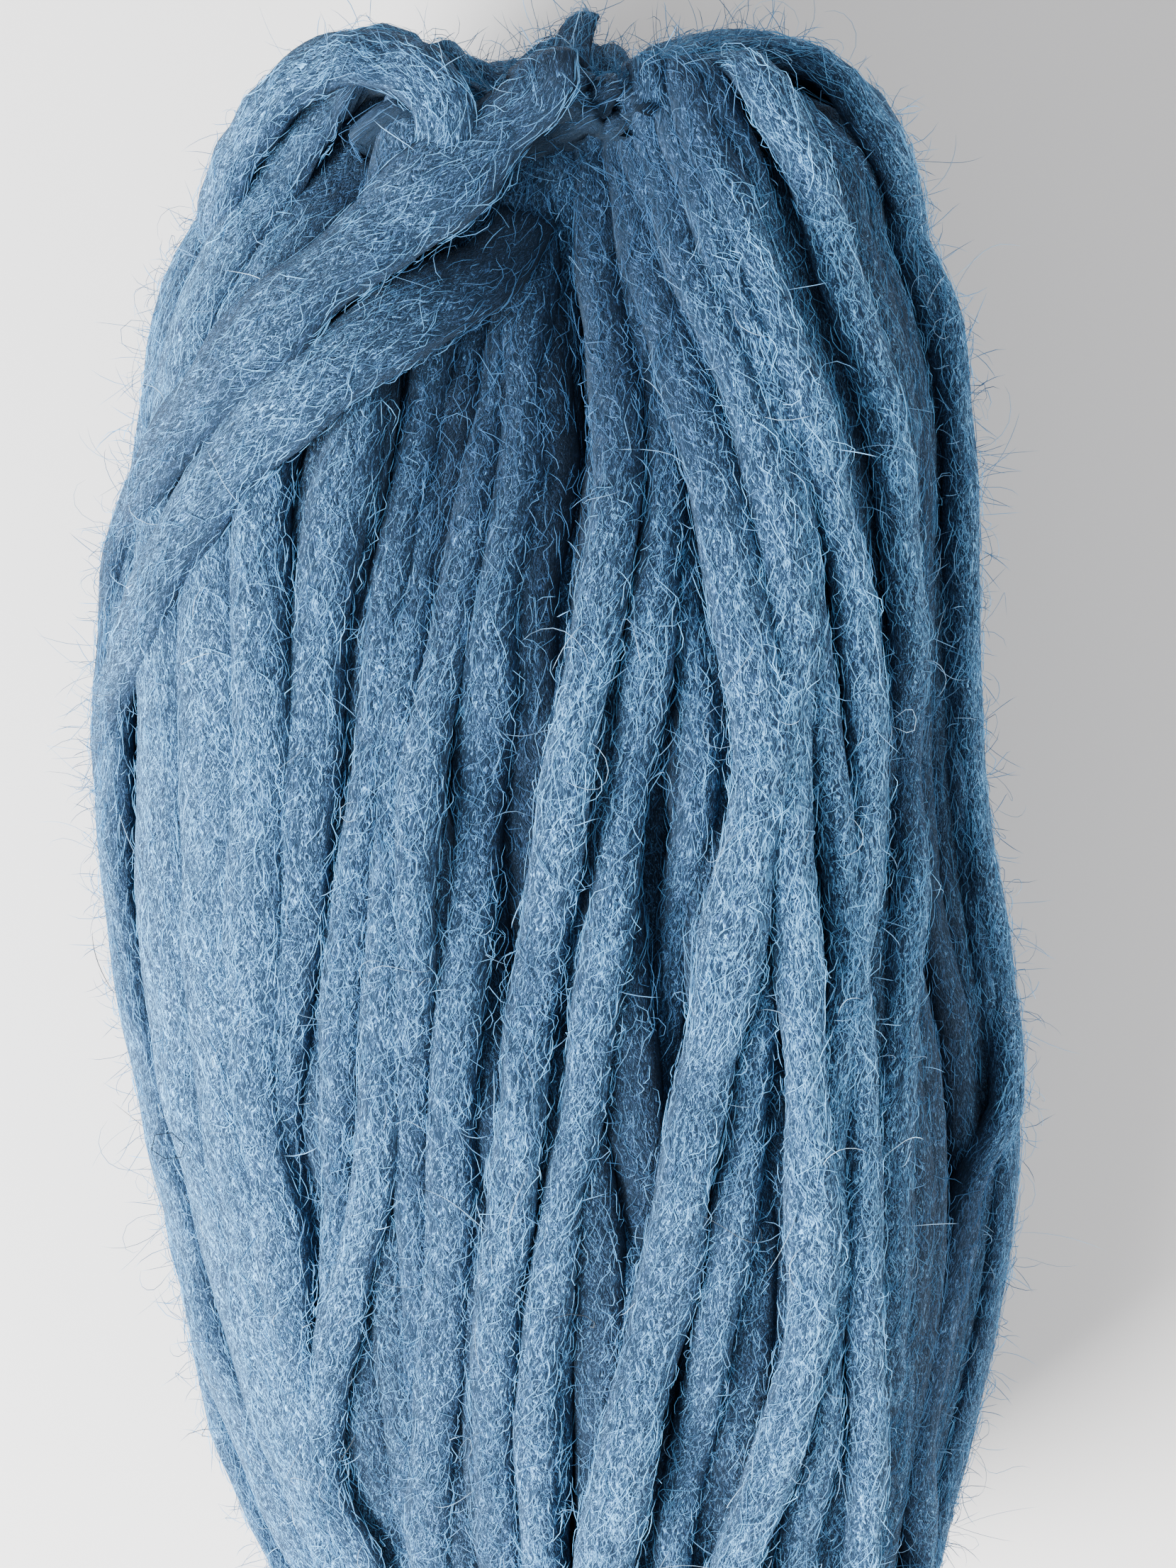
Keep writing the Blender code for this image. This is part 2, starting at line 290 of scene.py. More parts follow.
turns = {
    "rows": (150, 300, 450, 650, 850, 1050, 1250, 1450, 1650, 1850, 2050, 2200),
    # height at the head, the band, the middle and the foot, which also sets how dark they are painted
    # as shade; half width; place across on each row
    "paths": (
        ((0.0, 0.6, 0.9, 0.6), 5.7,
         (330, 265, 215, 175, 152, 165, 172, 200, 245, 290, 365, 440)),
        ((0.0, 0.8, 0.9, 0.6), 5.7,
         (400, 330, 275, 235, 225, 232, 235, 250, 290, 345, 415, 485)),
        ((-3.0, 0.0, 0.8, 0.6), 5.2,
         (450, 385, 330, 300, 295, 300, 300, 312, 335, 375, 425, 470)),
        ((-3.6, -0.4, 0.8, 0.4), 4.4,
         (500, 440, 385, 362, 362, 365, 358, 350, 368, 405, 440, 480)),
        ((-3.0, -1.6, -0.3, -2.0), 3.4,
         (560, 520, 500, 475, 440, 430, 410, 392, 378, 405, 440, 480)),
        ((-3.0, -2.8, -1.8, -2.0), 2.6,
         (690, 640, 590, 560, 535, 522, 492, 470, 468, 460, 440, 430)),
        ((-4.4, -3.0, -1.3, 0.6), 2.6,
         (725, 675, 630, 590, 575, 550, 545, 535, 525, 478, 455, 465)),
        ((-5.2, -2.6, -0.3, -3.2), 2.6,
         (745, 715, 690, 668, 640, 598, 580, 575, 570, 580, 570, 560)),
        ((-5.6, -2.0, -0.6, -2.0), 2.8,
         (765, 745, 732, 728, 697, 676, 657, 640, 630, 620, 602, 592)),
        ((-5.8, -5.6, -4.6, -2.2), 2.7,
         (790, 790, 792, 792, 780, 790, 826, 800, 790, 780, 770, 770)),
        ((-4.6, 0.2, 2.0, -1.6), 2.8,
         (835, 850, 868, 878, 850, 808, 778, 748, 727, 700, 692, 700)),
        ((-4.6, -0.2, -0.4, -0.8), 2.4,
         (880, 905, 930, 955, 928, 898, 870, 838, 805, 770, 755, 765)),
        ((-4.4, -2.2, -2.4, -4.0), 2.6,
         (900, 935, 960, 970, 975, 1000, 978, 955, 925, 880, 850, 840)),
        ((-2.6, 0.6, 2.5, 1.8), 3.2,
         (905, 925, 968, 1015, 1040, 1072, 1040, 1008, 970, 937, 882, 850)),
        ((-1.0, 0.8, 2.0, 1.4), 2.8,
         (935, 975, 1025, 1080, 1112, 1100, 1112, 1128, 1138, 1140, 1095, 1035)),
        ((-1.2, -1.6, -1.8, -0.9), 2.5,
         (920, 955, 1000, 1050, 1080, 1085, 1085, 1075, 1050, 1020, 985, 950)),
        ((0.3, 0.4, 0.4, 0.6), 2.4,
         (965, 1010, 1060, 1115, 1140, 1165, 1190, 1208, 1220, 1218, 1228, 1218)),
        ((0.8, 1.2, 1.0, -1.0), 2.5,
         (990, 1045, 1095, 1155, 1202, 1222, 1215, 1190, 1172, 1175, 1165, 1130)),
        ((-1.8, -2.8, -3.2, -4.0), 2.6,
         (1035, 1090, 1140, 1205, 1238, 1258, 1262, 1255, 1260, 1262, 1262, 1262)),
        ((1.0, 0.6, 0.0, -3.6), 2.6,
         (1090, 1160, 1208, 1262, 1285, 1312, 1298, 1287, 1280, 1285, 1280, 1270)),
        ((-3.4, -5.0, -4.8, -3.6), 2.8,
         (1165, 1285, 1340, 1362, 1370, 1345, 1340, 1330, 1330, 1310, 1300, 1290)),
        ((0.6, 0.6, 1.2, 1.2), 3.1,
         (1215, 1305, 1365, 1385, 1385, 1372, 1395, 1417, 1412, 1378, 1330, 1312)),
    ),
    "levelReach": (1.25, 1.65, 1.90, 2.08),
    "flanks": (12.0, 5.0, -2.0, -8.0, -14.0),  # degrees from +X of further turns down the right side
    "flankWidth": 4.2,
    "flankLevels": (-0.5, 0.7),
    "flankLean": 4.0,  # degrees either way
    "midReach": 1.5,
    "flankHead": 2.3,
    "uneven": 0.08,
    "halfHeight": (2.1, 2.5),
    "segments": 168,
    "sides": 12,
    "folds": 3,
    "pieces": 5,
    "tightness": 0.25,  # how close to the dimple's middle a turn passes
    "dive": -1.0,  # which side it passes on
    "capPoints": 80,
    "bodyPoints": 200,
    "capReach": 0.35,  # share of the way in by which a turn is fully on the cap
    "capFlatter": 0.5,
    "capSlimmer": 0.22,
    "capLevels": 1.5,
    "dimpleFrom": 0.40,
    "dimpleReach": 0.30,
    "dimpleStack": 7.0,
    "backSteps": 800,  # in which the section behind is measured
    "backSpill": 0.3,  # radians by which that goes past half a round at either end
    "backSpan": 0.55,  # reach either way of the middle over which a turn keeps its place behind
    "backSway": 0.05,  # radians
    "sway": ((5.0, 9.0), (11.0, 30.0)),  # crests along the form, and how far they shift
    "levelSpan": 0.6,
    "backLevels": 0.9,  # either way
    "backReach": (1.1, 1.5, 1.9),
}


def sideStep(tau):
    # how far round a turn swings to pass beside the dimple's middle
    return np.pi / 2 * (1 - np.arctan(tau) / math.acos(turns["tightness"])) * turns["dive"]


def wayIn(name, share):
    # the way from the edge of the body to a share of the way into the dimple
    rim = form[name]["rim"]
    outer = np.arccos(np.clip(1 - share / rim, -1, 1)) / np.pi
    return np.where(share < rim, outer, 0.5 + (share - rim) / (1 - rim) / 2)


def loopPath(frontAngle, backAngle, frontLevel, backLevel, rank, count):
    # one closed turn as dense points and normals; its angles and levels are functions of reach
    q = np.linspace(0.0, 1.0, turns["capPoints"])
    tight = turns["tightness"]
    tau = math.sqrt(1 / tight**2 - 1) * (1 - q**2)
    share = 1 - tight * np.sqrt(1 + tau**2)
    dive = sideStep(tau)
    body = np.linspace(1.0, 2.0, turns["bodyPoints"])
    reach = np.concatenate([1 - wayIn("foot", share)[::-1], body, 2 + wayIn("head", share)])
    dives = np.concatenate([dive[::-1], 0 * body, dive])
    inner = np.concatenate([share[::-1], 0 * body, share])
    half = np.pi * turns["dive"]
    angle = np.concatenate([frontAngle(reach) + dives, (backAngle(reach) + half - dives)[::-1]])
    level = np.concatenate([frontLevel(reach), backLevel(reach)[::-1]])
    reach = np.concatenate([reach, reach[::-1]])
    inner = np.concatenate([inner, inner[::-1]])
    onCap = smoothStep(inner / turns["capReach"])
    inDimple = smoothStep((inner - turns["dimpleFrom"]) / turns["dimpleReach"])
    level = level * (1 - turns["capFlatter"] * onCap)
    level -= turns["capLevels"] * (rank % 3) * onCap
    level -= turns["dimpleStack"] * (rank / count) * inDimple
    slim = 1 - turns["capSlimmer"] * onCap
    return reach, angle, level - form["sink"], slim


def evenPath(reach, angle, level, slim, segments):
    # a turn from its reach, angle and level, with its points an even distance apart
    normals = formNormals(reach, angle)
    deeper, toneAndPaintedShade = dentDepth(reach, angle)
    level = level - deeper
    points = formPoints(reach, angle) + normals * level[:, None]
    # the level kept for the colour also holds the dents' painted shade
    return resample(points, normals, slim, level - toneAndPaintedShade, segments)


def resample(points, normals, slim, level, segments):
    # a closed path with its points an even distance apart
    points = np.vstack([points, points[:1]])
    normals = np.vstack([normals, normals[:1]])
    slim, level = np.append(slim, slim[0]), np.append(level, level[0])
    walked = walkedAlong(points)
    goals = np.arange(segments) / segments * walked[-1]
    even = np.stack([np.interp(goals, walked, points[:, c]) for c in range(3)], axis=1)
    evenNormals = np.stack([np.interp(goals, walked, normals[:, c]) for c in range(3)], axis=1)
    return {
        "points": even,
        "normals": unit(evenNormals),
        "slim": np.interp(goals, walked, slim),
        "level": np.interp(goals, walked, level),
        "length": walked[-1],
    }


lumps = {
    "size": 0.10,  # of a turn's width and height
    "long": (5, 5, 30),  # how many waves are added, and the fewest and most crests of one round a turn
    "short": (8, 8, 44),
    "shortShare": 0.5,
    "slant": 3,  # most crests that a short wave has round the section
    "peak": 1.4,  # how high a sum of waves rises before it is brought down to about 1
    "floorGap": 0.02,
}


def waves(count, lowest, highest, places, around=None):
    # a smooth uneven closed sequence, mean 0 and about 1 high
    total, slant = 0.0, lumps["slant"]
    for _ in range(count):
        turnsRound = dice.integers(lowest, highest + 1)
        phase = dice.uniform(0, 2 * np.pi)
        sideways = 0.0 if around is None else dice.integers(-slant, slant + 1) * around
        total = total + np.sin(places * turnsRound + sideways + phase)
    return total / math.sqrt(count / 2) / lumps["peak"]


def tube(path, halfWidth, halfHeight, sides):
    # rings of points round a path, flattened where they meet the floor
    points, n = path["points"], len(path["points"])
    tangents = unit(np.roll(points, -1, axis=0) - np.roll(points, 1, axis=0))
    normals = unit(path["normals"] - tangents * (path["normals"] * tangents).sum(1, keepdims=True))
    across = np.cross(tangents, normals)
    place = (np.arange(n) / n * 2 * np.pi)[:, None]
    phi = (np.arange(sides) / sides * 2 * np.pi)[None, :]
    size, slim = lumps["size"], path["slim"][:, None]
    wide = halfWidth * slim * (1 + size * waves(*lumps["long"], place))
    tall = halfHeight * slim * (1 + size * waves(*lumps["long"], place))
    dents = 1 + lumps["shortShare"] * size * waves(*lumps["short"], place, phi)
    rings = (
        points[:, None, :]
        + across[:, None, :] * (wide * np.cos(phi) * dents)[..., None]
        + normals[:, None, :] * (tall * np.sin(phi) * dents)[..., None]
    )
    rings[..., 2] = np.maximum(rings[..., 2], lumps["floorGap"])
    return {
        "rings": rings,
        "middle": points,
        "level": path["level"],
        "normals": path["normals"],
        "arc": np.arange(n) / n * path["length"],
        "length": path["length"],
        "radius": halfWidth,
    }


def upperTurns():
    # the turns that show from above, each as its angle and levels from the foot to the head
    loops = []
    rim = form["head"]["rim"]
    for levels, halfWidth, xs in turns["paths"]:
        spots = np.array([placeUnder(px, py) for px, py in zip(xs, turns["rows"])])[::-1]
        reach, angle = spots[:, 0], np.unwrap(spots[:, 1])
        capWay = np.clip(reach - 2, 0, 1)
        share = np.where(capWay < 0.5, rim * (1 - np.cos(capWay * np.pi)), rim)
        tau = np.sqrt(np.maximum(((1 - share) / turns["tightness"]) ** 2 - 1, 0))
        bent = angle - sideStep(tau) * (reach > 2)
        loops.append({"reach": reach, "angle": bent, "levels": levels[::-1], "halfWidth": halfWidth})
    lowReach = min(loop["reach"][0] for loop in loops)
    for degrees in turns["flanks"]:
        level = float(dice.uniform(*turns["flankLevels"]))
        lean = math.radians(float(dice.uniform(-turns["flankLean"], turns["flankLean"])))
        base = math.radians(degrees)
        loops.append({
            "reach": np.array([lowReach, turns["midReach"], turns["flankHead"]]),
            "angle": np.array([base - lean, base, base + lean]),
            "levels": (level, level, level, level),
            "halfWidth": turns["flankWidth"],
        })
    return loops


def midAngle(loop):
    return float(curveThrough(np.array([turns["midReach"]]), loop["reach"], loop["angle"])[0])


def makeTurns():
    loops = upperTurns()
    loops.sort(key=lambda loop: -midAngle(loop))
    count = len(loops)
    mid = turns["midReach"]
    # behind, the turns spread evenly along the middle section
    spill = turns["backSpill"]
    fine = np.linspace(-spill, np.pi + spill, turns["backSteps"]) + np.pi
    walked = walkedAlong(formPoints(mid, fine))
    ends = np.interp([midAngle(loops[-1]) + np.pi, midAngle(loops[0]) + np.pi], fine, walked)
    made = []
    for rank, loop in enumerate(loops):
        goal = ends[1] + (ends[0] - ends[1]) * rank / (count - 1)
        evenMid = float(np.interp(goal, walked, fine)) - np.pi
        swing = dice.uniform(-turns["backSway"], turns["backSway"], 4)

        def frontAngle(reach, loop=loop):
            return curveThrough(reach, loop["reach"], loop["angle"])

        def backAngle(reach, loop=loop, evenMid=evenMid, swing=swing):
            top, bottom = loop["angle"][-1], loop["angle"][0]
            ends = bottom + (top - bottom) * smoothStep(reach - 1)
            inside = smoothStep(1 - np.abs(reach - mid) / turns["backSpan"])
            sway = 0.0
            for (often, shift), (size, start) in zip(turns["sway"], swing.reshape(2, 2)):
                sway = sway + size * np.sin(reach * often + shift * start)
            return ends + (evenMid - ends) * inside + sway * inside

        def frontLevel(reach, loop=loop):
            return np.interp(reach, turns["levelReach"], loop["levels"])

        ups = dice.uniform(-turns["backLevels"], turns["backLevels"], 3)

        def backLevel(reach, ups=ups, loop=loop):
            inside = smoothStep(1 - np.abs(reach - mid) / turns["levelSpan"])
            behind = np.interp(reach, turns["backReach"], ups)
            return frontLevel(reach, loop) * (1 - inside) + behind * inside

        dense = loopPath(frontAngle, backAngle, frontLevel, backLevel, rank, count)
        path = evenPath(*dense, turns["segments"])
        halfWidth = loop["halfWidth"] * (1 + turns["uneven"] * dice.uniform(-1, 1))
        made.append(tube(path, halfWidth, dice.uniform(*turns["halfHeight"]), turns["sides"]))
    return made


# the turns just below, which show in the gaps

underTurns = {
    "count": 31,
    "level": -3.3,
    "slant": 4.0,  # most degrees that one wanders round the form between foot and head
    "slantShare": (0.4, 1.0),
    "uneven": 0.5,  # mm either way
    "capDrop": 3.0,
    "capReach": 0.4,
    "halfWidth": 3.7,
    "halfHeight": 2.3,
    "segments": 76,
    "sides": 12,
    "folds": 2,
}


def makeUnderTurns():
    count = underTurns["count"]
    made = []
    for rank in range(count):
        base = np.pi * (rank + 0.5) / count
        slant = math.radians(underTurns["slant"]) * (1 if rank % 2 else -1)
        slant *= dice.uniform(*underTurns["slantShare"])

        def angle(reach, base=base, slant=slant):
            return base + slant * (np.clip(reach, 1, 2) - turns["midReach"])

        def level(reach, up=float(dice.uniform(-underTurns["uneven"], underTurns["uneven"]))):
            return underTurns["level"] + up + 0 * reach

        reach, turned, height, slim = loopPath(angle, angle, level, level, rank, count)
        onCap = smoothStep(np.maximum(reach - 2, 1 - reach) / underTurns["capReach"])
        height = height - underTurns["capDrop"] * onCap
        path = evenPath(reach, turned, height, slim, underTurns["segments"])
        sagHead(path["points"])
        made.append(tube(path, underTurns["halfWidth"], underTurns["halfHeight"], underTurns["sides"]))
    return made


# the slanting band over the upper face

band = {
    # half width, half height, a tone offset that paints it darker as shade, whether it goes behind,
    # and places with lift and slimness
    "strands": (
        (3.8, 2.0, -0.50, False, (
            (262, 600, -7.0, 0.6), (264, 510, -5.0, 0.75), (268, 430, -3.0, 0.85),
            (286, 340, -0.6, 1.0), (318, 255, 0.8, 1.0), (352, 195, 1.2, 1.0),
            (396, 140, 1.2, 1.0), (446, 100, 1.2, 1.0), (505, 80, 1.0, 1.0),
            (556, 84, 0.8, 0.95), (594, 108, 1.0, 0.9), (624, 150, 1.2, 0.9),
            (630, 200, 1.0, 0.9), (600, 256, 0.4, 1.0), (530, 330, -0.5, 1.0),
            (440, 410, -0.5, 1.0), (360, 480, -0.5, 1.0), (295, 560, -0.5, 1.0),
            (232, 640, 0.0, 1.0), (190, 725, 0.5, 1.0), (152, 820, 1.0, 1.0),
            (136, 930, 0.6, 0.9), (142, 1010, -3.0, 0.7), (166, 1040, -6.0, 0.6),
            (196, 980, -7.0, 0.6), (220, 850, -7.0, 0.6), (242, 720, -7.0, 0.6))),
        (5.0, 1.9, -0.95, True, (
            (824, 30, 2.4, 0.34), (808, 66, 1.4, 0.48), (762, 120, 0.4, 0.7),
            (698, 185, 0.2, 0.85), (620, 262, 1.6, 1.0), (530, 345, 2.4, 1.0),
            (440, 427, 2.8, 1.0), (360, 504, 2.8, 1.0), (290, 586, 2.6, 1.0),
            (234, 668, 2.4, 1.0), (192, 752, 2.2, 1.0), (162, 850, 2.0, 1.0),
            (142, 950, 1.8, 1.0))),
        (4.8, 1.9, -0.58, True, (
            (800, 60, -13.0, 0.5), (796, 120, -14.5, 0.55), (782, 190, -13.5, 0.65),
            (748, 262, -10.5, 0.8), (690, 335, -6.0, 0.95), (612, 405, -2.0, 1.0),
            (522, 478, 0.8, 1.0), (440, 552, 2.2, 1.0), (364, 628, 2.2, 1.0),
            (304, 702, 2.1, 1.0), (252, 786, 2.0, 1.0), (208, 880, 1.8, 1.0),
            (172, 975, 1.7, 1.0))),
    ),
    "behind": (  # degrees round the section, along Y, share of the way into the head's dimple, lift
        (186.0, 10.0, 0.0, 2.2),
        (204.0, 14.0, 0.0, 2.2),
        (226.0, 36.0, 0.0, 2.2),
        (246.0, 60.0, 0.0, 2.2),
        (262.0, 80.0, 0.0, 2.2),
        (272.0, 82.0, 0.25, 1.0),
        (282.0, 82.0, 0.50, -4.0),
        (304.0, 82.0, 0.75, -8.0),
        (392.0, 82.0, 0.84, -8.0),
        (446.0, 82.0, 0.90, -4.0),
    ),
    "spacing": 6.0,
    "twist": 1.5,  # degrees apart for each mm of spacing, in the dimple
    "dimpleSlim": 0.8,
    "rimRun": 60.0,  # mm beyond the body's edge that would make the whole way in
    "points": 700,
    "evenness": 0.8,
    "blend": 8,  # points either side over which its normals are smoothed
    "middle": (0.0, 0.0, 44.0),
    "hiddenBelow": -9.0,  # a strand with less lift than this keeps under the head's hollow
    "segments": 168,
    "sides": 12,
    "folds": 3,
}


def makeBand():
    first, last = rowTable[0, 0], rowTable[-1, 0]
    made = []
    for number, (halfWidth, halfHeight, _bandShade, goesBehind, places) in enumerate(band["strands"]):
        spots = []
        for px, py, lift, slim in places:
            reach, angle = placeUnder(px, py)
            spots.append((reach, angle % (2 * np.pi), lift, slim))
        offset = (number - 1.0) * band["spacing"]
        for turned, along, share, lift in band["behind"] if goesBehind else ():
            angle = math.radians(turned)
            if share > 0:
                turnedBack = angle - math.radians(offset * band["twist"])
                spots.append((2 + wayIn("head", share), turnedBack, lift, band["dimpleSlim"]))
            elif along - offset > last:
                share = (along - offset - last) / band["rimRun"]
                spots.append((2 + wayIn("head", share), angle, lift, 1.0))
            else:
                spots.append((1 + (along - offset - first) / (last - first), angle, lift, 1.0))
        spots = np.array(spots)
        corners = np.hstack([formPoints(spots[:, 0], spots[:, 1]), spots[:, 2:]])
        # a closed smooth curve through the corners, laid back on the form
        closed = np.vstack([corners[-2:], corners, corners[:3]])
        walked = walkedAlong(closed[:, :3], band["evenness"])
        t = np.linspace(walked[2], walked[-3], band["points"])[:-1]
        dense = np.stack([curveThrough(t, walked, closed[:, c]) for c in range(5)], axis=1)
        points, normals = np.empty((len(dense), 3)), np.empty((len(dense), 3))
        for k, place in enumerate(dense):
            near, normal, _face, _far = tree.find_nearest(Vector(place[:3]))
            points[k], normals[k] = near, normal
        outward = np.sign((normals * (points - np.array(band["middle"]))).sum(1, keepdims=True))
        shifts = range(-band["blend"], band["blend"] + 1)
        normals = unit(sum(np.roll(normals * outward, shift, axis=0) for shift in shifts))
        points = points + normals * (dense[:, 3:4] - form["sink"])
        hidden = points.copy()
        sagHead(hidden)
        points = np.where(dense[:, 3:4] < band["hiddenBelow"], hidden, points)
        path = resample(points, normals, dense[:, 4], dense[:, 3] - form["sink"], band["segments"])
        made.append(tube(path, halfWidth, halfHeight, band["sides"]))
    return made


# building meshes

# bare edges round each strip on the map
margins = {
    "tube": 0.06,
    "tubeEnd": 0.01,
    "hair": 0.15,
    "hairEnd": 0.06,
    "core": 0.12,
    "fan": 0.10,  # of the triangles that close the core's ends
    "fanEdge": 0.10,
    "fanTip": 0.02,
}


def inset(t, margin):
    return margin + (1 - 2 * margin) * t


def addMesh(name, points, triangles, quads, corners, material, attributes):
    # corners: one map place for every face corner, triangles first
    mesh = bpy.data.meshes.new(name)
    mesh.vertices.add(len(points))
    mesh.vertices.foreach_set("co", (np.asarray(points) * mm).astype(np.float32).ravel())
    indices = np.concatenate([triangles.ravel(), quads.ravel()]).astype(np.int32)
    quadStarts = triangles.size + np.arange(len(quads)) * 4
    starts = np.concatenate([np.arange(len(triangles)) * 3, quadStarts])
    mesh.loops.add(len(indices))
    mesh.loops.foreach_set("vertex_index", indices)
    mesh.polygons.add(len(starts))
    mesh.polygons.foreach_set("loop_start", starts.astype(np.int32))
    mesh.update(calc_edges=True)
    mesh.shade_smooth()
    layer = mesh.uv_layers.new(name="OFBake")
    layer.data.foreach_set("uv", np.asarray(corners, dtype=np.float32).ravel())
    for title, values in attributes.items():
        kind, field = ("FLOAT", "value") if values.ndim == 1 else ("FLOAT_VECTOR", "vector")
        attribute = mesh.attributes.new(title, kind, "POINT")
        attribute.data.foreach_set(field, values.astype(np.float32).ravel())
    mesh.materials.append(material)
    ob = newObject(name, mesh)
    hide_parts("skein")
    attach(ob, "root")


noTriangles = np.zeros((0, 3), int)


def addTubes(name, strands, folds, material):
    # several closed tubes as one mesh; every tube is laid out on the map in a few long strips
    points, quads, corners, spaces, crossed, tones, paintedCrestShades = [], [], [], [], [], [], []
    start, strip = 0, 0
    strips = len(strands) * folds
    for strand in strands:
        rings, radius = strand["rings"], strand["radius"]
        n, m = rings.shape[:2]
        i, j = np.meshgrid(np.arange(n), np.arange(m), indexing="ij")
        per = n // folds
        fold, local = i // per, i % per
        left = (strip + fold + inset(j / m, margins["tube"])) / strips
        right = (strip + fold + inset((j + 1) / m, margins["tube"])) / strips
        low = inset(local / per, margins["tubeEnd"])
        high = inset((local + 1) / per, margins["tubeEnd"])
        corner = np.stack([left, low, right, low, right, high, left, high], axis=-1)
        points.append(rings.reshape(-1, 3))
        quads.append(ringQuads(n, m, True).reshape(-1, 4) + start)
        corners.append(corner.reshape(-1, 2))
        phi = np.arange(m)[None, :] / m * 2 * np.pi
        arc = strand["arc"][:, None] + strand["shift"]
        wound = int(strand["length"] * wool["windPerMm"] / (2 * np.pi)) * 2 * np.pi / strand["length"]
        for places, twist in ((spaces, wound), (crossed, -wound)):
            turned = phi + twist * strand["arc"][:, None]
            place = np.stack([radius * np.cos(turned), radius * np.sin(turned), arc + 0 * phi], -1)
            places.append(place.reshape(-1, 3))
        # painted shade: turns that lie deeper get a darker tone
        levelShade = wool["paintedShadeByLevel"] * np.clip(strand["level"], *wool["paintedShadeLevels"])
        tones.append(np.repeat(strand["tone"] + levelShade, m))
        # painted shade: each turn lighter on its crest and darker towards its sides
        paintedCrestShades.append(np.tile(0.5 + 0.5 * np.sin(phi[0]), n))
        start += n * m
        strip += folds
    attributes = {
        "strandSpace": np.vstack(spaces),
        "crossSpace": np.vstack(crossed),
        "tone": np.concatenate(tones),
        "crest": np.concatenate(paintedCrestShades),
    }
    points, quads, corners = np.vstack(points), np.vstack(quads), np.vstack(corners)
    addMesh(name, points, noTriangles, quads, corners, material, attributes)


def addSlivers(name, lines, radius, sideways, tone, material):
    # one closed three-sided hair per line of points, pointed at both ends
    count, k = lines.shape[0], lines.shape[1] - 2
    tangents = unit(lines[:, 2:] - lines[:, :-2])
    across = unit(np.cross(tangents, sideways[:, 1:-1]))
    lift = np.cross(across, tangents)
    taper = np.sqrt(np.sin(np.linspace(0, np.pi, k + 2)[1:-1]))
    width = radius[:, None, None] * taper[None, :, None]
    sides = []
    for a in (90, 210, 330):
        a = math.radians(a)
        sides.append(lines[:, 1:-1] + (across * math.cos(a) + lift * math.sin(a)) * width)
    rings = np.stack(sides, axis=2)
    points = np.concatenate([lines[:, :1], rings.reshape(count, 3 * k, 3), lines[:, -1:]], axis=1)
    last = 3 * k + 1
    triangles, quads, triMap, quadMap = [], [], [], []
    for side in range(3):
        other = (side + 1) % 3
        left, right = (side + inset(0, margins["hair"])) / 3, (side + inset(1, margins["hair"])) / 3
        steps = [inset(s / (k + 1), margins["hairEnd"]) for s in range(k + 2)]
        triangles.append((0, 1 + side, 1 + other))
        triMap.append(((left + right) / 2, steps[0], left, steps[1], right, steps[1]))
        triangles.append((last, last - 3 + other, last - 3 + side))
        triMap.append(((left + right) / 2, steps[-1], right, steps[-2], left, steps[-2]))
        for s in range(k - 1):
            a, b = 1 + 3 * s, 4 + 3 * s
            quads.append((a + side, b + side, b + other, a + other))
            low, high = steps[s + 1], steps[s + 2]
            quadMap.append((left, low, left, high, right, high, right, low))
    grid = math.ceil(math.sqrt(count))
    cell = np.stack([np.arange(count) % grid, np.arange(count) // grid], axis=1) / grid
    offsets = (np.arange(count) * (last + 1))[:, None, None]
    faces3 = (np.array(triangles)[None] + offsets).reshape(-1, 3)
    faces4 = (np.array(quads)[None] + offsets).reshape(-1, 4)
    map3 = cell[:, None, :] + np.array(triMap).reshape(1, -1, 2) / grid
    map4 = cell[:, None, :] + np.array(quadMap).reshape(1, -1, 2) / grid
    corners = np.vstack([map3.reshape(-1, 2), map4.reshape(-1, 2)])
    tones = np.repeat(tone, last + 1)
    points = points.reshape(-1, 3)
    points[:, 2] = np.maximum(points[:, 2], lumps["floorGap"] / 2)
    addMesh(name, points, faces3, faces4, corners, material, {"tone": tones})


# shader maths


class Wire:
    # a node's output, so that sums of values read as sums

    def __init__(self, paint, socket):
        self.paint = paint
        self.socket = socket

    def math(self, operation, other=0.0, swapped=False):
        first, second = (other, self) if swapped else (self, other)
        return self.paint.node("ShaderNodeMath", {"operation": operation}, {0: first, 1: second})

    def __add__(self, other):
        return self.math("ADD", other)

    def __sub__(self, other):
        return self.math("SUBTRACT", other)

    def __rsub__(self, other):
        return self.math("SUBTRACT", other, True)

    def __mul__(self, other):
        return self.math("MULTIPLY", other)

    def __pow__(self, other):
        return self.math("POWER", other)

    def __rpow__(self, other):
        return self.math("POWER", other, True)

    def __abs__(self):
        return self.math("ABSOLUTE")

    __radd__ = __add__
    __rmul__ = __mul__


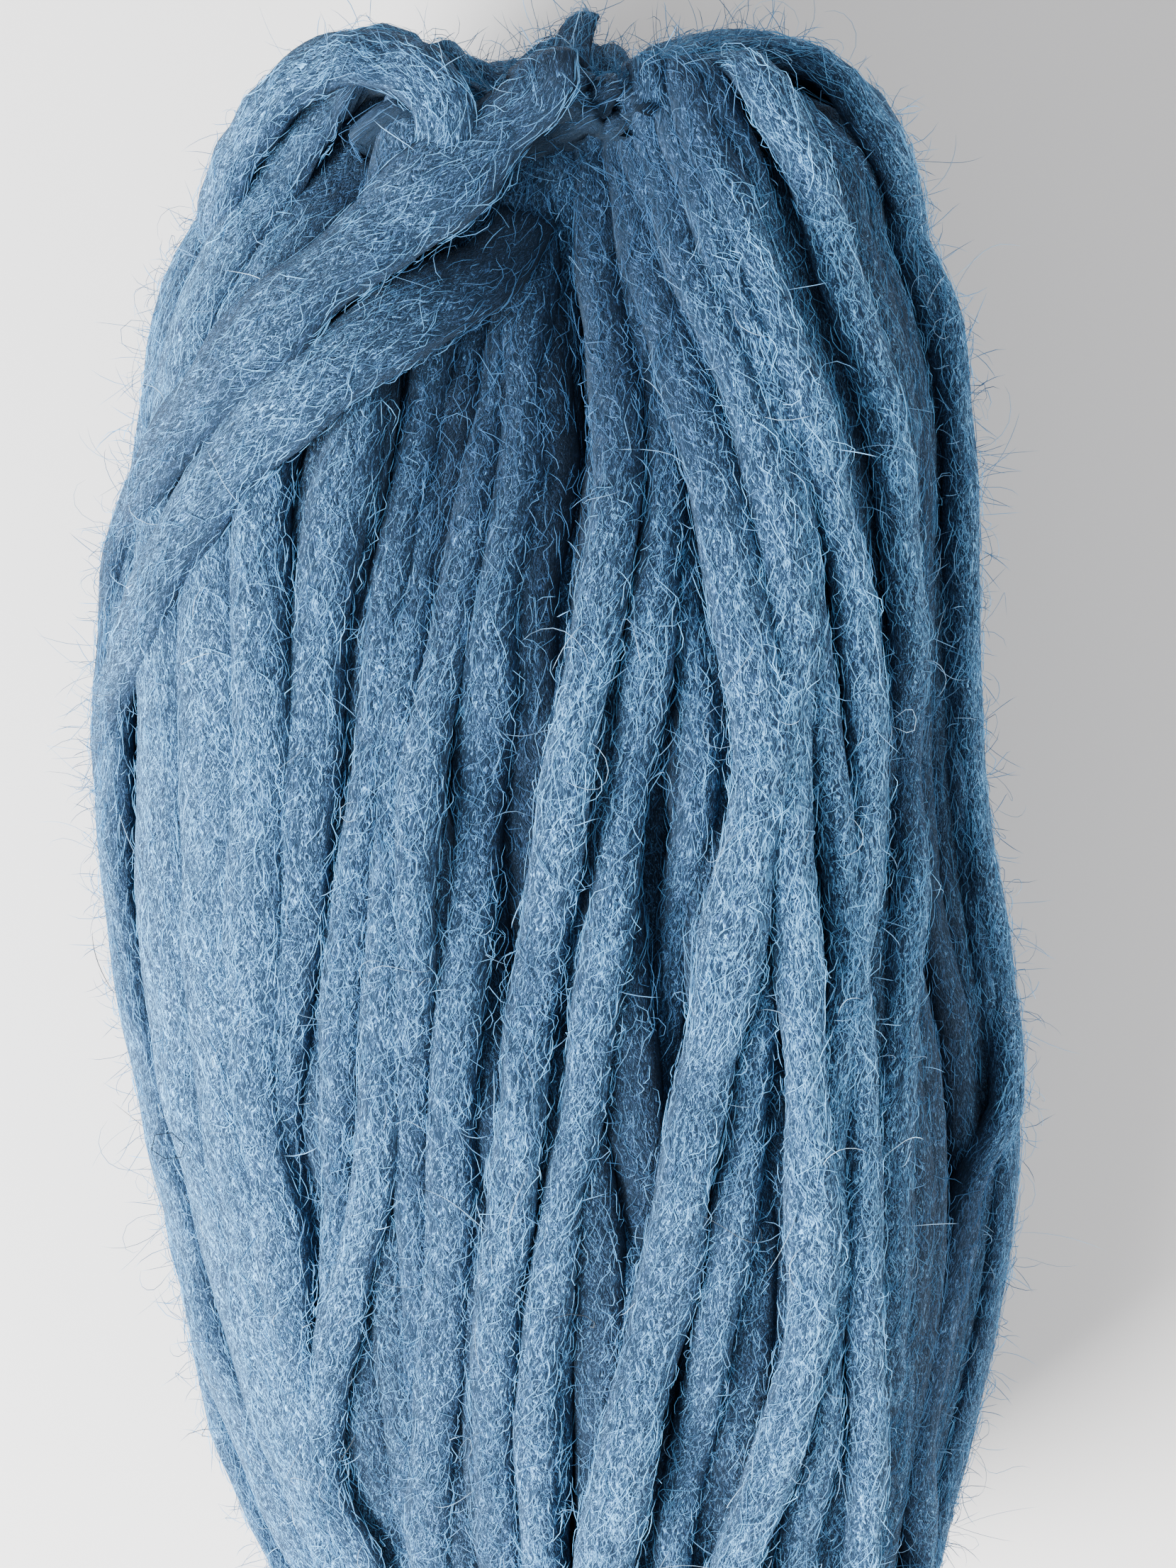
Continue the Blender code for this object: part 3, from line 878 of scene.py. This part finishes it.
class Paint:
    # one material and its node tree

    def __init__(self, name, fixed):
        self.material = bpy.data.materials.new(name)
        self.material.use_nodes = True
        self.tree = self.material.node_tree
        self.shader = self.tree.nodes["Principled BSDF"]
        for key, value in fixed.items():
            self.shader.inputs[key].default_value = value

    def node(self, kind, settings, sockets, output=0):
        made = self.tree.nodes.new(kind)
        for key, value in settings.items():
            if key == "stops":
                self.setStops(made.color_ramp, value)
            else:
                setattr(made, key, value)
        for key, value in sockets.items():
            self.feed(made.inputs[key], value)
        return Wire(self, made.outputs[output])

    def setStops(self, ramp, stops):
        while len(ramp.elements) < len(stops):
            ramp.elements.new(0.5)
        for element, (place, colour) in zip(ramp.elements, stops):
            element.position = place
            element.color = (*colour, 1.0)

    def feed(self, socket, value):
        if isinstance(value, Wire):
            self.tree.links.new(value.socket, socket)
        else:
            socket.default_value = value

    def attribute(self, name, output):
        return self.node("ShaderNodeAttribute", {"attribute_name": name}, {}, output)

    def noise(self, place, scale, detail=2.0, output=0):
        sockets = {"Vector": place, "Scale": scale, "Detail": detail}
        return self.node("ShaderNodeTexNoise", {}, sockets, output)

    def move(self, operation, first, second):
        return self.node("ShaderNodeVectorMath", {"operation": operation}, {0: first, 1: second})

    def mix(self, factor, first, second):
        return self.node("ShaderNodeMix", {"data_type": "RGBA"}, {0: factor, 6: first, 7: second}, 2)


wool = {
    "deep": (0.0055, 0.018, 0.037),
    "middle": (0.0120, 0.029, 0.060),
    "light": (0.040, 0.102, 0.228),
    "bright": (0.210, 0.610, 1.000),
    "stops": (0.0, 0.33, 0.66, 1.0),
    "fibreWidth": 0.125,  # mm
    "fibreRun": 2.0,
    "crossWidth": 1.5,  # times the others' width
    "crossShare": 0.95,
    "sharpness": 10,  # how narrow a ridge is drawn
    "drift": (0.55, 1.6),  # how often per mm a ridge bends, and by how much
    "windPerMm": 0.085,  # radians that the fibres wind round a turn
    "clumps": 0.22,  # per mm
    "speckle": (5.5, 5.5, 1.1),  # per mm
    "relief": 0.30,  # mm
    # painted shade: turns that lie deeper are coloured darker
    "paintedShadeByLevel": 0.21,  # turns that lie deeper are duller
    "paintedShadeLevels": (-7.0, 1.5),
    "shade": {
        "ridges": 0.95,
        "speckle": 0.66,
        "clumps": 0.30,
        "tone": 0.20,
        "crest": 0.42,
        "less": 0.86,
    },
    "bump": 0.8,
    "roughness": (0.97, 0.12),  # usual, and less on the ridges
    "fixed": {
        "Roughness": 0.92,
        "Specular IOR Level": 0.15,
        "Sheen Weight": 0.05,
        "Sheen Roughness": 0.5,
        "Sheen Tint": (0.62, 0.80, 1.0, 1.0),
    },
}


def fibreRidges(paint, place, width, run):
    # long thin ridges that bend a little, like fibres lying side by side
    often, far = wool["drift"]
    drift = paint.move("SUBTRACT", paint.noise(place, often, 1.0, 1), (0.5, 0.5, 0.5))
    bent = paint.move("ADD", place, paint.move("MULTIPLY", drift, (far, far, 0.0)))
    stretched = paint.move("MULTIPLY", bent, (1 / width, 1 / width, 1 / run))
    return 1 - abs(paint.noise(stretched, 0.5, 1.0) * 2 - 1)


def woolPaint(name, depth):
    # depth: 1 on the outer turns, less on those below, whose colours are scaled darker as painted
    # shade
    paint = Paint(name, wool["fixed"])
    place = paint.attribute("strandSpace", "Vector")
    crossing = paint.attribute("crossSpace", "Vector")
    along = fibreRidges(paint, place, wool["fibreWidth"], wool["fibreRun"])
    across = fibreRidges(paint, crossing, wool["fibreWidth"] * wool["crossWidth"], wool["fibreRun"])
    sharp = wool["sharpness"]
    ridges = (along**sharp).math("MAXIMUM", across**sharp * wool["crossShare"])
    clumps = paint.noise(place, wool["clumps"], 2.0)
    speckle = paint.noise(paint.move("MULTIPLY", place, wool["speckle"]), 1.0, 1.0)
    tone = paint.attribute("tone", "Fac")
    crest = paint.attribute("crest", "Fac")
    share = wool["shade"]
    # tone adds each turn's own tone and its painted shade by depth; the crest term is painted shade
    # across each turn
    shade = ridges * share["ridges"] + speckle * share["speckle"] + clumps * share["clumps"]
    shade = shade + tone * share["tone"] + crest * share["crest"] - share["less"]
    colours = (wool["deep"], wool["middle"], wool["light"], wool["bright"])
    stops = [(at, tuple(c * depth for c in colour)) for at, colour in zip(wool["stops"], colours)]
    colour = paint.node("ShaderNodeValToRGB", {"stops": stops}, {0: shade})
    bump = {"Strength": wool["bump"], "Distance": wool["relief"] * mm, "Height": ridges}
    normal = paint.node("ShaderNodeBump", {}, bump)
    usual, less = wool["roughness"]
    paint.feed(paint.shader.inputs["Base Color"], colour)
    paint.feed(paint.shader.inputs["Roughness"], usual - ridges * less)
    paint.feed(paint.shader.inputs["Normal"], normal)
    return paint.material


def hairPaint(name, dark, light):
    paint = Paint(name, wool["fixed"])
    colour = paint.mix(paint.attribute("tone", "Fac"), (*dark, 1.0), (*light, 1.0))
    paint.feed(paint.shader.inputs["Base Color"], colour)
    return paint.material


# the core, which closes the depths between the turns

core = {
    "level": -8.5,
    "capLevel": -6.0,
    "capReach": 0.5,
    "deeper": 1.5,  # times the turns' own dents
    "ripple": 0.5,
    "ripples": (31, 9),  # round the form and along it
    "lowest": 3.0,
    "endRows": 14,
    "bodyRows": 30,
    "columns": 120,
    "pole": 0.02,
    # painted shade: the core's colour is made darker
    "tone": -0.7,
    # the core's even share of the crest's painted shade
    "crest": 0.6,
}


def makeCore():
    reach = np.concatenate([
        np.linspace(core["pole"], 1, core["endRows"])[:-1],
        np.linspace(1, 2, core["bodyRows"]),
        np.linspace(2, 3 - core["pole"], core["endRows"])[1:],
    ])
    angle = np.arange(core["columns"]) * 2 * np.pi / core["columns"]
    reachGrid, angleGrid = np.meshgrid(reach, angle, indexing="ij")
    onCap = smoothStep(np.maximum(reachGrid - 2, 1 - reachGrid) / core["capReach"])
    around, lengthwise = core["ripples"]
    ripple = core["ripple"] * np.sin(angleGrid * around + reachGrid * lengthwise) * (1 - onCap)
    deeper, _paintedShade = dentDepth(reachGrid, angleGrid)
    level = core["level"] - core["deeper"] * deeper + core["capLevel"] * onCap + ripple
    normals = formNormals(reachGrid, angleGrid)
    # near the dimples the shell moves straight inwards along Y
    straight = np.zeros_like(normals)
    straight[..., 1] = np.sign(reachGrid - turns["midReach"])
    normals = unit(normals * (1 - onCap[..., None]) + straight * onCap[..., None])
    points = formPoints(reachGrid, angleGrid) + normals * level[..., None]
    sagHead(points)
    points[..., 2] = np.maximum(points[..., 2], core["lowest"])
    rows, columns = points.shape[:2]
    quads = ringQuads(rows, columns, False)[..., (0, 3, 2, 1)]  # facing outwards
    i, j = np.meshgrid(np.arange(rows - 1), np.arange(columns), indexing="ij")
    low, high = inset(i / (rows - 1), margins["core"]), inset((i + 1) / (rows - 1), margins["core"])
    left, right = j / columns, (j + 1) / columns
    corners = [np.stack([left, low, left, high, right, high, right, low], -1).reshape(-1, 2)]
    # a fan of triangles closes each end
    flat = points.reshape(-1, 3)
    poles = np.stack([points[0].mean(0), points[-1].mean(0)])
    j = np.arange(columns)
    n = (j + 1) % columns
    foot, head, top = 0 * j + len(flat), 0 * j + len(flat) + 1, (rows - 1) * columns
    triangles = np.vstack([np.stack([foot, n, j], -1), np.stack([head, top + j, top + n], -1)])
    middle, before, after = ((j + inset(t, margins["fan"])) / columns for t in (0.5, 0, 1))
    for end in (1, 0):
        edge, tip = inset(end, margins["fanEdge"]), inset(end, margins["fanTip"])
        fan = np.stack([middle, 0 * j + tip, after, 0 * j + edge, before, 0 * j + edge], -1)
        corners.insert(0, fan.reshape(-1, 2))
    corners = np.vstack(corners)
    space = np.vstack([flat, poles])
    attributes = {
        "strandSpace": space[:, (0, 2, 1)],
        "crossSpace": space[:, (1, 2, 0)],
        "tone": np.full(len(space), core["tone"]),
        "crest": np.full(len(space), core["crest"]),
    }
    addMesh("core", space, triangles, quads.reshape(-1, 4), corners, shadedInnerWool, attributes)


# fibres: short ones lying on the turns, and long loose ones

nap = {
    "kinds": (  # the side seen from above or the other one, how many, rings, pieces, length and crimp
        ("front", 16000, 3, 2, (1.8, 4.6), (0.15, 0.50)),
        ("front", 8000, 4, 2, (3.0, 7.0), (0.25, 0.70)),
        ("back", 6000, 2, 1, (2.0, 5.0), (0.05, 0.40)),
        ("back", 2000, 3, 1, (4.0, 9.0), (0.20, 0.60)),
    ),
    "tries": 240000,
    "reachRound": 115,  # degrees either way of a turn's crest
    "lowest": 0.3,
    "radius": (0.030, 0.056),
    "tone": (1.1, 0.05, 1.3),  # usual, least and most
    # painted shade: hairs on turns that lie deeper are darker
    "paintedShadeByLevel": 0.16,
    "toneByStrand": 0.5,
    # painted shade: hairs darker towards a turn's sides
    "paintedShadeByCrest": 0.45,
    "slant": 24.0,  # degrees either way
    "lift": (0.03, 0.30),
    "crimpWaves": (0.5, 1.3),
    "crimpStart": 7.0,  # radians, the most that a wave is shifted
    "curlWaves": (0.6, 1.3),
    "curlShare": 0.8,
    "arch": (0.15, 1.3),  # usual and rare height of a fibre's bow
    "archRarity": 6,
    "bowWaves": (0.5, 1.2),
    "toneSpread": (1.6, 1.3),
    "clearance": 0.3,
    "openness": 5.0,  # a fibre with another turn this near above it is left out
    "dark": (0.029, 0.091, 0.200),
    "light": (0.190, 0.560, 0.930),
}

fuzz = {
    "count": 6600,
    "edge": 8.0,  # how much denser they stand along the outline
    "rings": 3,
    "length": (2.2, 7.0),
    "radius": (0.040, 0.062),
    "rise": (0.3, 1.35),
    "dark": (0.030, 0.095, 0.195),
    "light": (0.180, 0.410, 0.680),
}

strayFibres = {
    "count": 1700,
    "edge": 5.0,
    "rings": 7,
    "length": (4.0, 13.0),
    "radius": (0.030, 0.054),
    "rise": (0.1, 1.2),
    "dark": (0.065, 0.160, 0.290),
    "light": (0.370, 0.560, 0.740),
}

darkHairs = {
    "count": 60,
    "edge": 0.0,
    "rings": 7,
    "length": (7.0, 16.0),
    "radius": (0.05, 0.08),
    "rise": (0.1, 1.1),
    "dark": (0.012, 0.020, 0.030),
    "light": (0.060, 0.070, 0.080),
}


looseHairs = {
    "reachRound": 100,  # degrees either way of a turn's crest
    "triesEach": 5,
    "edgeAt": 0.05,  # where a hair counts as near the outline: how squarely it faces the camera
    "edgeWidth": 0.22,
    "root": 0.1,
    "curl": (0.42, 0.18),  # radians a step: uneven, and to one side
    "curlRange": (0.7, 1.3),
    "nod": (-0.34, 0.04),  # radians a step that a hair bends back down or up
}


class Bank:
    # the surfaces of many tubes together, for reading many places at once

    def __init__(self, strands):
        joined = ("rings", "middle", "normals", "level")
        self.rings, self.middle, self.normals, self.levels = (
            np.concatenate([s[key] for s in strands]) for key in joined
        )
        self.rows = np.array([len(s["rings"]) for s in strands])
        self.starts = np.concatenate([[0], np.cumsum(self.rows)[:-1]])
        self.lengths, self.radii, self.tones = (
            np.array([s[key] for s in strands]) for key in ("length", "radius", "tone")
        )
        self.sides = strands[0]["rings"].shape[1]

    def rowsAlong(self, strand, arc):
        return arc / self.lengths[strand] % 1.0 * self.rows[strand]

    def look(self, strand, arc, phi):
        # the surface point, its outward direction and the direction along the turn
        row = self.rowsAlong(strand, arc)
        side = (phi / (2 * np.pi) % 1.0) * self.sides
        i, j = np.floor(row).astype(int), np.floor(side).astype(int)
        a, b = (row - i)[..., None], (side - j)[..., None]
        here = self.starts[strand] + i % self.rows[strand]
        there = self.starts[strand] + (i + 1) % self.rows[strand]
        j, j2 = j % self.sides, (j + 1) % self.sides
        low = self.rings[here, j] * (1 - b) + self.rings[here, j2] * b
        high = self.rings[there, j] * (1 - b) + self.rings[there, j2] * b
        place = low * (1 - a) + high * a
        middle = self.middle[here] * (1 - a) + self.middle[there] * a
        return place, unit(place - middle), unit(self.middle[there] - self.middle[here])

    def rowAt(self, strand, arc):
        return self.starts[strand] + np.floor(self.rowsAlong(strand, arc)).astype(int)

    def tree(self):
        quads = [
            ringQuads(rows, self.sides, True).reshape(-1, 4) + start * self.sides
            for rows, start in zip(self.rows, self.starts)
        ]
        return rayTree(self.rings, np.vstack(quads))

    def spots(self, count, reachRound):
        strand = dice.choice(len(self.rows), count, p=self.lengths / self.lengths.sum())
        arc = dice.uniform(0, 1, count) * self.lengths[strand]
        phi = np.pi / 2 + dice.uniform(-1, 1, count) * np.radians(reachRound)
        return strand, arc, phi


def openSpots(bank, count):
    # places on the turns, which ones nothing lies over, and which ones face the camera
    cover = bank.tree()
    strand, arc, phi = bank.spots(count, nap["reachRound"])
    place, outward, _along = bank.look(strand, arc, phi)
    upward = unit(outward + bank.normals[bank.rowAt(strand, arc)])
    clear = np.zeros(count, bool)
    for k in range(count):
        start = Vector(place[k] + outward[k] * nap["clearance"])
        clear[k] = cover.ray_cast(start, Vector(upward[k]), nap["openness"])[0] is None
    front = ((eye - place) * outward).sum(1) > 0
    clear &= place[:, 2] > nap["lowest"]
    return strand, arc, phi, clear, front


def makeNap(bank):
    strand, arc, phi, clear, front = openSpots(bank, nap["tries"])
    spots = {"front": np.flatnonzero(clear & front), "back": np.flatnonzero(clear & ~front)}
    paint = hairPaint("napWool", nap["dark"], nap["light"])
    usual, least, most = nap["tone"]
    number = 0
    for side, count, rings, pieces, lengths, crimps in nap["kinds"]:
        pick, spots[side] = spots[side][:count], spots[side][count:]
        print(side, "fibres:", len(pick))
        own, ownArc, ownPhi = strand[pick], arc[pick], phi[pick]
        lines, outward, radius, tone = napLines(bank, own, ownArc, ownPhi, rings, lengths, crimps)
        # painted shade: hairs on deeper turns, and on the band, come out darker
        height = bank.levels[bank.rowAt(own, ownArc)]
        toneAndPaintedShade = nap["toneByStrand"] * (bank.tones[own] - 0.5)
        brighter = np.clip(usual + nap["paintedShadeByLevel"] * height + toneAndPaintedShade, least, most)
        # painted shade: hairs darker towards a turn's sides
        napCrestShade = 1 - nap["paintedShadeByCrest"] * (1 - np.sin(ownPhi))
        tone = tone * brighter * napCrestShade
        for part in range(pieces):
            these = np.arange(part, len(pick), pieces)
            number += 1
            addSlivers(f"nap{number}", lines[these], radius[these], outward[these], tone[these], paint)


def crimpWave(t, fewest, most, count):
    # one wave along each of many fibres
    often = dice.uniform(fewest, most, count)[:, None]
    start = dice.uniform(0, nap["crimpStart"], count)[:, None]
    return np.sin(2 * np.pi * t * often + start)


def napLines(bank, strand, arc, phi, rings, lengths, crimps):
    # short crimped fibres that lie along the turns
    count = len(strand)
    length = dice.uniform(*lengths, count)
    slant = np.radians(nap["slant"]) * dice.standard_normal(count)
    t = np.linspace(0, 1, rings + 2)[None, :]
    crimpSize = dice.uniform(*crimps, count)[:, None]
    crimp = crimpSize * crimpWave(t, *nap["crimpWaves"], count)
    curl = nap["curlShare"] * crimpSize * crimpWave(t, *nap["curlWaves"], count)
    sideways = np.sin(slant)[:, None] * (t - 0.5) * length[:, None] + crimp
    arcs = arc[:, None] + np.cos(slant)[:, None] * (t - 0.5) * length[:, None] + curl
    phis = phi[:, None] + sideways / bank.radii[strand][:, None]
    strands = np.repeat(strand[:, None], rings + 2, axis=1)
    place, outward, _along = bank.look(strands, arcs, phis)
    usual, rare = nap["arch"]
    arch = usual * dice.uniform(0, 2, count) + rare * dice.uniform(0, 1, count) ** nap["archRarity"]
    lift = dice.uniform(*nap["lift"], count)[:, None]
    bow = np.sin(t * np.pi * dice.uniform(*nap["bowWaves"], count)[:, None])
    lines = place + outward * (lift + arch[:, None] * bow)[..., None]
    tone = dice.beta(*nap["toneSpread"], count)
    return lines, outward, dice.uniform(*nap["radius"], count), tone


def makeStrays(bank, name, look):
    # hairs that curl away from the surface, standing off it by a few millimetres
    count, rings = look["count"], look["rings"]
    tries = looseHairs["triesEach"] * count
    strand, arc, phi = bank.spots(tries, looseHairs["reachRound"])
    place = bank.look(strand, arc, phi)[0]
    facing = (unit(eye - place) * bank.normals[bank.rowAt(strand, arc)]).sum(1)
    away = (facing - looseHairs["edgeAt"]) / looseHairs["edgeWidth"]
    chance = 1 + look["edge"] * np.exp(-(away**2))
    pick = dice.choice(tries, count, replace=False, p=chance / chance.sum())
    strand, arc, phi = strand[pick], arc[pick], phi[pick]
    place, outward, along = bank.look(strand, arc, phi)
    length = dice.uniform(*look["length"], count)
    steps = rings + 1
    heading = dice.uniform(0, 2 * np.pi, count)
    rise = dice.uniform(*look["rise"], count)
    uneven, oneWay = looseHairs["curl"]
    curl = dice.normal(0, 1.0, count) * uneven + np.sign(dice.uniform(-1, 1, count)) * oneWay
    nod = dice.uniform(*looseHairs["nod"], count)
    across = np.cross(along, outward)
    lines = [place - outward * looseHairs["root"]]
    for _ in range(steps):
        flat = along * np.cos(heading)[:, None] + across * np.sin(heading)[:, None]
        ahead = flat * np.cos(rise)[:, None] + outward * np.sin(rise)[:, None]
        lines.append(lines[-1] + ahead * (length / steps)[:, None])
        heading = heading + curl * dice.uniform(*looseHairs["curlRange"], count)
        rise = rise + nod
    lines = np.stack(lines, axis=1)
    sideways = np.repeat(outward[:, None], rings + 2, axis=1)
    paint = hairPaint(name + "Wool", look["dark"], look["light"])
    # painted shade: hairs on deeper turns come out darker
    level = bank.levels[bank.rowAt(strand, arc)]
    usual, least, _most = nap["tone"]
    tone = dice.uniform(0, 1, count) * np.clip(usual + nap["paintedShadeByLevel"] * level, least, 1.0)
    addSlivers(name, lines, dice.uniform(*look["radius"], count), sideways, tone, paint)


# putting the skein together

# tone: each turn's own random tone; inner: how much darker the turns below are painted, as shade
strandLooks = {"shift": (0, 4000), "tone": (0.3, 0.7), "inner": 0.7}

outerWool = woolPaint("outerWool", 1.0)
shadedInnerWool = woolPaint("shadedInnerWool", strandLooks["inner"])

upper = makeTurns()
print("turns:", len(upper))
lower = makeUnderTurns()
print("turns below:", len(lower))
crossing = makeBand()
print("band strands:", len(crossing))

for strand in upper + lower + crossing:
    strand["shift"] = float(dice.uniform(*strandLooks["shift"]))
    strand["tone"] = float(dice.uniform(*strandLooks["tone"]))
# painted shade: the band's strands get darker tones
for strand, (_halfWidth, _halfHeight, dull, _behind, _places) in zip(crossing, band["strands"]):
    strand["tone"] += dull

makeCore()
print("core rows:", core["bodyRows"] + 2 * core["endRows"] - 2)
addTubes("turnsBelow", lower, underTurns["folds"], shadedInnerWool)
for part in range(turns["pieces"]):
    addTubes(f"turns{part + 1}", upper[part::turns["pieces"]], turns["folds"], outerWool)
addTubes("band", crossing, band["folds"], outerWool)

makeNap(Bank(upper + crossing + lower))
outerBank = Bank(upper + crossing)
makeStrays(outerBank, "fuzz", fuzz)
makeStrays(outerBank, "strays", strayFibres)
makeStrays(outerBank, "darkHairs", darkHairs)
print("loose hairs:", fuzz["count"] + strayFibres["count"] + darkHairs["count"])

# floor and light

studio = {
    "floorColour": (0.640, 0.615, 0.590),
    "floorDull": 0.985,  # the darker flecks in the floor
    "floorFlecks": 30.0,  # a metre
    "floorFinish": {"Roughness": 0.7, "Specular IOR Level": 0.3},
    "floorSize": 6.0,
    "skyColour": (0.86, 0.91, 1.0),
    "skyStrength": 0.95,
    "aim": (0.0, 0.0, 0.05),
    "lights": (  # name, place, size, power, colour
        ("window", (-0.86, -0.50, 0.72), 0.66, 108.0, (0.96, 0.98, 1.0)),
        ("fill", (0.95, -0.45, 0.40), 0.60, 17.0, (1.0, 0.97, 0.93)),
    ),
}


def makeFloor():
    half = studio["floorSize"] / 2
    mesh = bpy.data.meshes.new("floor")
    corners = [(-half, -half, 0), (half, -half, 0), (half, half, 0), (-half, half, 0)]
    mesh.from_pydata(corners, [], [(0, 1, 2, 3)])
    ob = newObject("floor", mesh)
    paint = Paint("floorPaint", studio["floorFinish"])
    place = paint.node("ShaderNodeTexCoord", {}, {}, "Object")
    flecks = paint.noise(place, studio["floorFlecks"], 2.0)
    dull = tuple(c * studio["floorDull"] for c in studio["floorColour"])
    colour = paint.mix(flecks, (*dull, 1.0), (*studio["floorColour"], 1.0))
    paint.feed(paint.shader.inputs["Base Color"], colour)
    mesh.materials.append(paint.material)


def makeLight():
    world = bpy.data.worlds.new("sky")
    world.use_nodes = True
    sky = world.node_tree.nodes["Background"]
    sky.inputs["Color"].default_value = (*studio["skyColour"], 1.0)
    sky.inputs["Strength"].default_value = studio["skyStrength"]
    bpy.context.scene.world = world
    for name, place, size, power, colour in studio["lights"]:
        data = bpy.data.lights.new(name, "AREA")
        data.shape = "SQUARE"
        data.size = size
        data.energy = power
        data.color = colour
        ob = newObject(name, data)
        ob.location = Vector(place)
        ob.rotation_mode = "QUATERNION"
        ob.rotation_quaternion = (Vector(studio["aim"]) - Vector(place)).to_track_quat("-Z", "Y")


makeFloor()
makeLight()
print("lights:", len(studio["lights"]))
